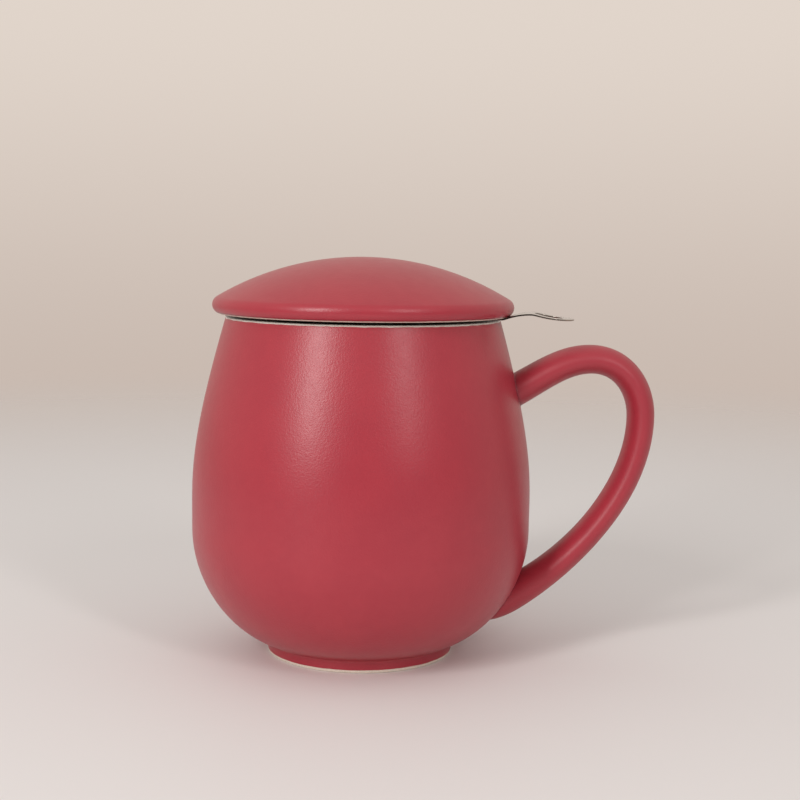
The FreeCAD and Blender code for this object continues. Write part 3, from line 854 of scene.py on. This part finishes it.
# %% Crimp the hoop
hoop_low, hoop_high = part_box("base_ring")
HOOP_OUT, HOOP_LOW, HOOP_TOP = hoop_high.x / MM, hoop_low.z / MM, hoop_high.z / MM
HOOP_IN = SIEVE_IN - 2.5
hoop_start = (29.5, HOOP_LOW, 0)
hoop_outline = softened([
    hoop_start, (HOOP_OUT, HOOP_LOW, 0.55), (HOOP_OUT, HOOP_TOP, 0.13), (SIEVE_OUT, HOOP_TOP, 0.13),
    (SIEVE_OUT, SIEVE_LOW, 0.3), (HOOP_IN, SIEVE_LOW, 0.13), (HOOP_IN, HOOP_LOW, 0.13), hoop_start,
], 6)
hoop_piece = turned("base_ring_crimped", hoop_outline[:-1], FINE_ROUND, "infuser",
                    ["base_ring"], closed=True)

# %% Lay the seam
SEAM_HALF, SEAM_PROUD, SEAM_SUNK = 1.2, 0.2, 0.15
SPOT_STEP, SPOT_RADIUS, SPOT_PINCH = 3.1, 0.5, 0.6


def seam_strip():
    """Rows of points round the strip. At a distance c across and p from the nearest weld spot it stands
    proud by (1 - (c / half)^8) times 1 - pinch * exp(-(c^2 + p^2) / radius^2)."""
    across, height = np.meshgrid(np.linspace(-SEAM_HALF, SEAM_HALF, 17),
                                 np.linspace(HOOP_TOP, COLLAR_LOW, 340))
    past_spot = (height - HOOP_TOP + SPOT_STEP / 2) % SPOT_STEP - SPOT_STEP / 2
    pinch = np.exp(-(across ** 2 + past_spot ** 2) / SPOT_RADIUS ** 2)
    proud = SEAM_PROUD * (1 - (across / SEAM_HALF) ** 8) * (1 - SPOT_PINCH * pinch)
    radius = np.concatenate([SIEVE_OUT + proud, np.full_like(proud, SIEVE_OUT - SEAM_SUNK)], 1)
    turn = TAB_AZIMUTH + math.pi + np.concatenate([across, across[:, ::-1]], 1) / SIEVE_OUT
    return np.stack([radius * np.cos(turn), radius * np.sin(turn), np.hstack([height, height])], -1)


seam_points = seam_strip()
seam_rows, seam_columns = seam_points.shape[:2]
low_end = np.arange(seam_columns)
top_end = low_end + (seam_rows - 1) * seam_columns
seam_faces = [*grid_faces(seam_rows, seam_columns).tolist(), low_end[::-1].tolist(), top_end.tolist()]
seam_piece = mesh_piece("sieve_seam_welded", seam_points.reshape(-1, 3), seam_faces, "infuser",
                        ["sieve_seam"], sharp=60)

# %% [markdown]
# ## Satin glaze
# The red is a matt glaze: most of its light is scattered evenly, and a broad, soft sheen lies over
# that. Its colour drifts a little where the coat is thick or thin, and it thins to a lighter line over
# the lip's edge. The same lighter red is also a painted highlight in the crease above the foot, and a
# darker red is painted shade where the handle meets the body and under the lid's edge. The same finish
# turns white at the lip, where the inside's glossy glaze takes over, and to bare clay at the foot. The
# distance along the turned profile says which is which.

# %% Mix the glazes
RED = colour(172, 50, 63)
RED_THICK = colour(168, 47, 61)
# Thin red over the lip, also used as a painted highlight in the crease above the foot.
RED_THIN_AND_HIGHLIGHT = colour(188, 86, 90)
# Painted shade: a darker red at the handle's roots and under the lid's edge.
RED_PAINTED_SHADE = colour(118, 28, 42)
WHITE = colour(232, 226, 218)
CLAY, CLAY_SPECK = colour(236, 226, 214), colour(206, 190, 172)
SATIN, HANDLE_SATIN, GLOSSY, BARE = 0.355, 0.45, 0.16, 0.8
PEEL_DEPTH = 0.062


def glaze(name, zones, satin=SATIN):
    """The red satin glaze. zones, given the finish, returns wires that are 1 where the surface is white,
    where it is bare clay, where it is lighter, thin over the lip and as a painted highlight in a crease,
    and where painted shade darkens it."""
    finish = Finish(name)
    place = finish.place()
    drift = finish.noise(14.0, 3, place=place)
    cloud = finish.noise(2.6, 2, place=place)
    peel = finish.noise(0.6, 2, 0.4, place)
    speck = finish.noise(0.32, 1, place=place)
    thick = finish.step(drift * 0.7 + cloud * 0.3, 0.36, 0.64)
    white, bare, thin_and_highlight, painted_shade = zones(finish)
    coat = finish.mix(thick, RED, RED_THICK)
    # Lighter red: thin glaze over the lip and a painted highlight at the foot's crease; then painted shade, a
    # darker red.
    coat = finish.mix(thin_and_highlight, coat, RED_THIN_AND_HIGHLIGHT)
    coat = finish.mix(painted_shade, coat, RED_PAINTED_SHADE)
    coat = finish.mix(white, coat, WHITE)
    coat = finish.mix(bare, coat, finish.mix(speck, CLAY, CLAY_SPECK))
    rough = satin + (cloud - 0.5) * 0.06
    rough = rough * (1 - white) + white * GLOSSY
    rough = rough * (1 - bare) + bare * BARE
    height = (peel * 0.5 + speck * 0.5) * (1 - white * 0.7)
    return finish.surface({"Base Color": coat, "Roughness": rough, "Specular IOR Level": 0.55,
                           "Normal": finish.bump(height, PEEL_DEPTH)})


print("a satin roughness of", SATIN, "and of", HANDLE_SATIN, "on the handle")

# %% Say where each glaze lies
def wandering(finish, swing_mm):
    """The distance along the profile in mm, moved by soft noise, so that a glaze's edge isn't a circle."""
    return finish.attribute("along") + (finish.noise(3.0, 2) - 0.5) * swing_mm


def body_zones(finish):
    """White from the lip inwards, bare clay under the foot, thin red at the lip, and a painted highlight of
    the same lighter red at the foot's crease, where it is 0.45 exp(-(d / 0.45)^2) at a distance d."""
    at = wandering(finish, 0.35)
    white = finish.step(at, LIP_STARTS - 0.09, LIP_STARTS + 0.01)
    bare = 1 - finish.step(at, GLAZE_STARTS - 0.1, GLAZE_STARTS + 0.05)
    near_crease = (at - CREASE_AT) / 0.45
    # Painted highlight: a lighter red line in the crease above the foot.
    crease_highlight = finish.math("EXPONENT", 0 - near_crease * near_crease) * 0.45
    thin_lip = finish.step(at, LIP_STARTS - 0.45, LIP_STARTS - 0.1) * 0.35
    return white, bare, finish.math("MAXIMUM", crease_highlight, thin_lip), 0.0


def lid_zones(finish):
    """White under the lid, bare clay on its seat and just above, then painted shade, a darker red, where the
    red ends under the edge.
    """
    at = wandering(finish, 0.3)
    seat = finish.step(at, SEAT_AT - 4.6, SEAT_AT - 4.4)
    red = finish.step(at, SEAT_AT + 0.66, SEAT_AT + 0.76)
    # Painted shade under the lid's edge: a darker red band just above the bare clay.
    lid_edge_shade = (1 - finish.step(at, SEAT_AT + 0.80, SEAT_AT + 1.40)) * 0.75
    return 1 - seat, seat * (1 - red), 0.0, lid_edge_shade


def handle_zones(finish):
    """Red all over, with painted shade, a darker red, in the corner where the handle meets the body."""
    return 0.0, 0.0, 0.0, finish.attribute("painted_shade") * 0.8


body_piece.data.materials.append(glaze("glaze_body", body_zones))
lid_piece.data.materials.append(glaze("glaze_lid", lid_zones))
handle_piece.data.materials.append(glaze("glaze_handle", handle_zones, HANDLE_SATIN))
print("glazes", [piece.data.materials[0].name for piece in (body_piece, lid_piece, handle_piece)])

# %% [markdown]
# ## Steel
# The rim is bright sheet whose fine scratches run round it, as polishing on a spindle leaves them. Noise
# does this when it is squeezed: slow across the object, fast with the height and with the distance from
# the axis. The edges that the press cut are painted with shade: nearly black round the rim and dark at
# the tab's root, turning lighter towards the end of the tab. The sieve is duller, because etching leaves a
# matt face.

# %% Polish the steel
CUT_FROM = RIM_OUT - 0.3
# Between these radii the painted shade on the tab's cut edges turns to the lighter tone below.
LIGHTER_FROM, LIGHTER_BY = RIM_OUT + 8, RIM_OUT + 12
LIGHTER_EDGE_STEEL = colour(168, 158, 149)
SCRATCH_LENGTH, SCRATCH_DEPTH = 12, 0.003
SMEAR_TONE = 0.93


def steel(name, tone, rough, scratch_mm, edge_shade_tone=None):
    """Metal with scratches that run round the axis. tone is its colour, rough its roughness and
    scratch_mm the distance between scratches. Further from the axis than CUT_FROM, faces that stand
    upright are cut edges, painted with shade in the given edge tone, which turns lighter further out."""
    finish = Finish(name)
    place = finish.place()
    x, y, z = (finish.part(place, axis) for axis in "XYZ")
    radius = finish.math("SQRT", x * x + y * y)
    length = SCRATCH_LENGTH * MM
    squeezed = finish.node("ShaderNodeCombineXYZ", None,
                           {"X": x / length, "Y": y / length, "Z": (radius + z) / (scratch_mm * MM)})
    lines = finish.node("ShaderNodeTexNoise", None, {"Vector": squeezed, "Scale": 1.0, "Detail": 2.0}, "Fac")
    smear = finish.noise(6.0, 3, place=place)
    smeared = colour(*(SMEAR_TONE * part for part in tone))
    shade = finish.mix(finish.step(smear, 0.35, 0.7), colour(*tone), smeared)
    # Painted shade on the cut edges, turning lighter towards the tab's end.
    if edge_shade_tone:
        tilt = finish.math("ABSOLUTE", finish.part(finish.node("ShaderNodeTexCoord", take="Normal"), "Z"))
        cut = (1 - finish.step(tilt, 0.45, 0.8)) * finish.step(radius, CUT_FROM * MM, (CUT_FROM + 0.1) * MM)
        towards_tab_end = finish.step(radius, LIGHTER_FROM * MM, LIGHTER_BY * MM)
        shade = finish.mix(cut, shade, finish.mix(towards_tab_end, colour(*edge_shade_tone), LIGHTER_EDGE_STEEL))
    return finish.surface({"Base Color": shade, "Metallic": 1.0,
                           "Roughness": rough + (lines - 0.5) * 0.14 + (smear - 0.5) * 0.08,
                           "Normal": finish.bump(lines, SCRATCH_DEPTH)})


POLISHED = ((206, 201, 195), 0.15, 0.10)
# The last colour is the painted shade of the cut edges: nearly black round the rim, dark on the tab.
bright = steel("steel_rim", *POLISHED, (30, 27, 24))
tongue = steel("steel_tab", *POLISHED, (84, 76, 70))
dull = steel("steel_dull", (182, 179, 175), 0.30, 0.16)
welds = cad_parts["spot_welds"]
welds.data.materials.clear()
coats = [(rim_piece, bright), (hoop_piece, bright), (tab_piece, tongue),
         (sieve_piece, dull), (base_piece, dull), (seam_piece, dull), (welds, dull)]
for piece, coat in coats:
    piece.data.materials.append(coat)
print("steel pieces", [piece.name for piece, _ in coats])

# %% [markdown]
# ## Window light
# The object was seen by daylight from the left, so a tall soft window stands there and a weaker one on
# the right. Both are flat area lamps that the camera can't see.

# %% Set the lamps
MIDDLE_OF_OBJECT, WINDOW_DISTANCE = Vector((0, 0, 0.06)), 1.1
DAYLIGHT = (1.0, 0.985, 0.97)


def window(name, azimuth, elevation, size, power):
    """A soft lamp that faces the object. From the object's middle it stands WINDOW_DISTANCE times
    (sin a cos e, -cos a cos e, sin e) away, for an azimuth a and an elevation e. size is in metres."""
    lamp = bpy.data.lights.new(name, "AREA")
    lamp.shape = "RECTANGLE"
    lamp.size, lamp.size_y = size
    lamp.energy = power
    lamp.color = DAYLIGHT
    holder = bpy.data.objects.new(name, lamp)
    bpy.context.scene.collection.objects.link(holder)
    a, e = math.radians(azimuth), math.radians(elevation)
    towards = Vector((math.sin(a) * math.cos(e), -math.cos(a) * math.cos(e), math.sin(e)))
    holder.location = MIDDLE_OF_OBJECT + towards * WINDOW_DISTANCE
    holder.rotation_mode = "QUATERNION"
    holder.rotation_quaternion = (-towards).to_track_quat("-Z", "Y")
    holder.visible_camera = False
    print(name, "at", [round(value, 2) for value in holder.location], "m with", power, "W")


window("window_left", -35.5, 26, (0.17, 0.55), 5.35)
window("window_right", 34, 28, (0.12, 0.50), 2.05)

# %% [markdown]
# ## Backdrop and floor
# The world answers three kinds of ray in three ways. The camera sees the pale backdrop itself. Shiny
# surfaces see the backdrop too, with a darker room in front of the object, or steel would look like
# paper. All other rays get a soft light that grows stronger from above. The floor is a pale disc that
# fades out with the distance from the object, so that it runs into the backdrop without a horizon.

# %% The backdrop
world = bpy.data.worlds.new("studio")
bpy.context.scene.world = world
sky = Finish("studio", world)
direction = sky.node("ShaderNodeTexCoord", take="Generated")
upwards, forwards = sky.part(direction, "Z"), 0 - sky.part(direction, "Y")


def ray(kind):
    """1 for the rays of one kind and 0 for the others."""
    return sky.node("ShaderNodeLightPath", take=kind)


backdrop = sky.mix(sky.step(upwards, -0.12, 0.16), colour(201, 186, 176), colour(225, 213, 203))
seen = sky.node("ShaderNodeBackground", None, {"Color": backdrop, "Strength": 1.0})
from_above = 0.42 + sky.step(upwards, -0.05, 0.75) * 0.45
light = sky.node("ShaderNodeBackground", None, {"Color": colour(225, 221, 218), "Strength": from_above})
in_front = sky.step(forwards, 0.05, 0.7) * (1 - sky.step(upwards, 0.1, 0.8))
dim = sky.mix(in_front, backdrop, colour(72, 70, 69))
room = sky.node("ShaderNodeBackground", None, {"Color": dim, "Strength": 0.95})
shone = sky.node("ShaderNodeMixShader", None, {0: ray("Is Glossy Ray"), 1: light, 2: room})
three_skies = sky.node("ShaderNodeMixShader", None, {0: ray("Is Camera Ray"), 1: shone, 2: seen})
sky.end(three_skies, "ShaderNodeOutputWorld")
print("nodes in the world", len(world.node_tree.nodes))

# %% The floor
FLOOR_RADIUS, FLOOR_SIDES = 1.0, 96
FADES_FROM, FADED_BY = 0.22, 0.85

floor_mesh = bpy.data.meshes.new("floor")
floor_edge = arc((0, 0), FLOOR_RADIUS, 0, 360, FLOOR_SIDES + 1)[:-1]
floor_mesh.from_pydata(level(floor_edge, 0.0), [], [list(range(FLOOR_SIDES))])
floor = bpy.data.objects.new("floor", floor_mesh)
bpy.context.scene.collection.objects.link(floor)
pale = Finish("pale_floor")
distance = pale.node("ShaderNodeVectorMath", {"operation": "LENGTH"}, {0: pale.place()}, "Value")
fade = 1 - pale.step(distance, FADES_FROM, FADED_BY)
floor_mesh.materials.append(pale.surface({
    "Base Color": colour(234, 230, 228), "Roughness": 0.6, "Specular IOR Level": 0.3, "Alpha": fade}))
print("floor", 2 * FLOOR_RADIUS, "m across")

# %% [markdown]
# ## The end
# The picture is shown with the plain Standard view transform.

# %% Finish
bpy.context.scene.view_settings.view_transform = "Standard"
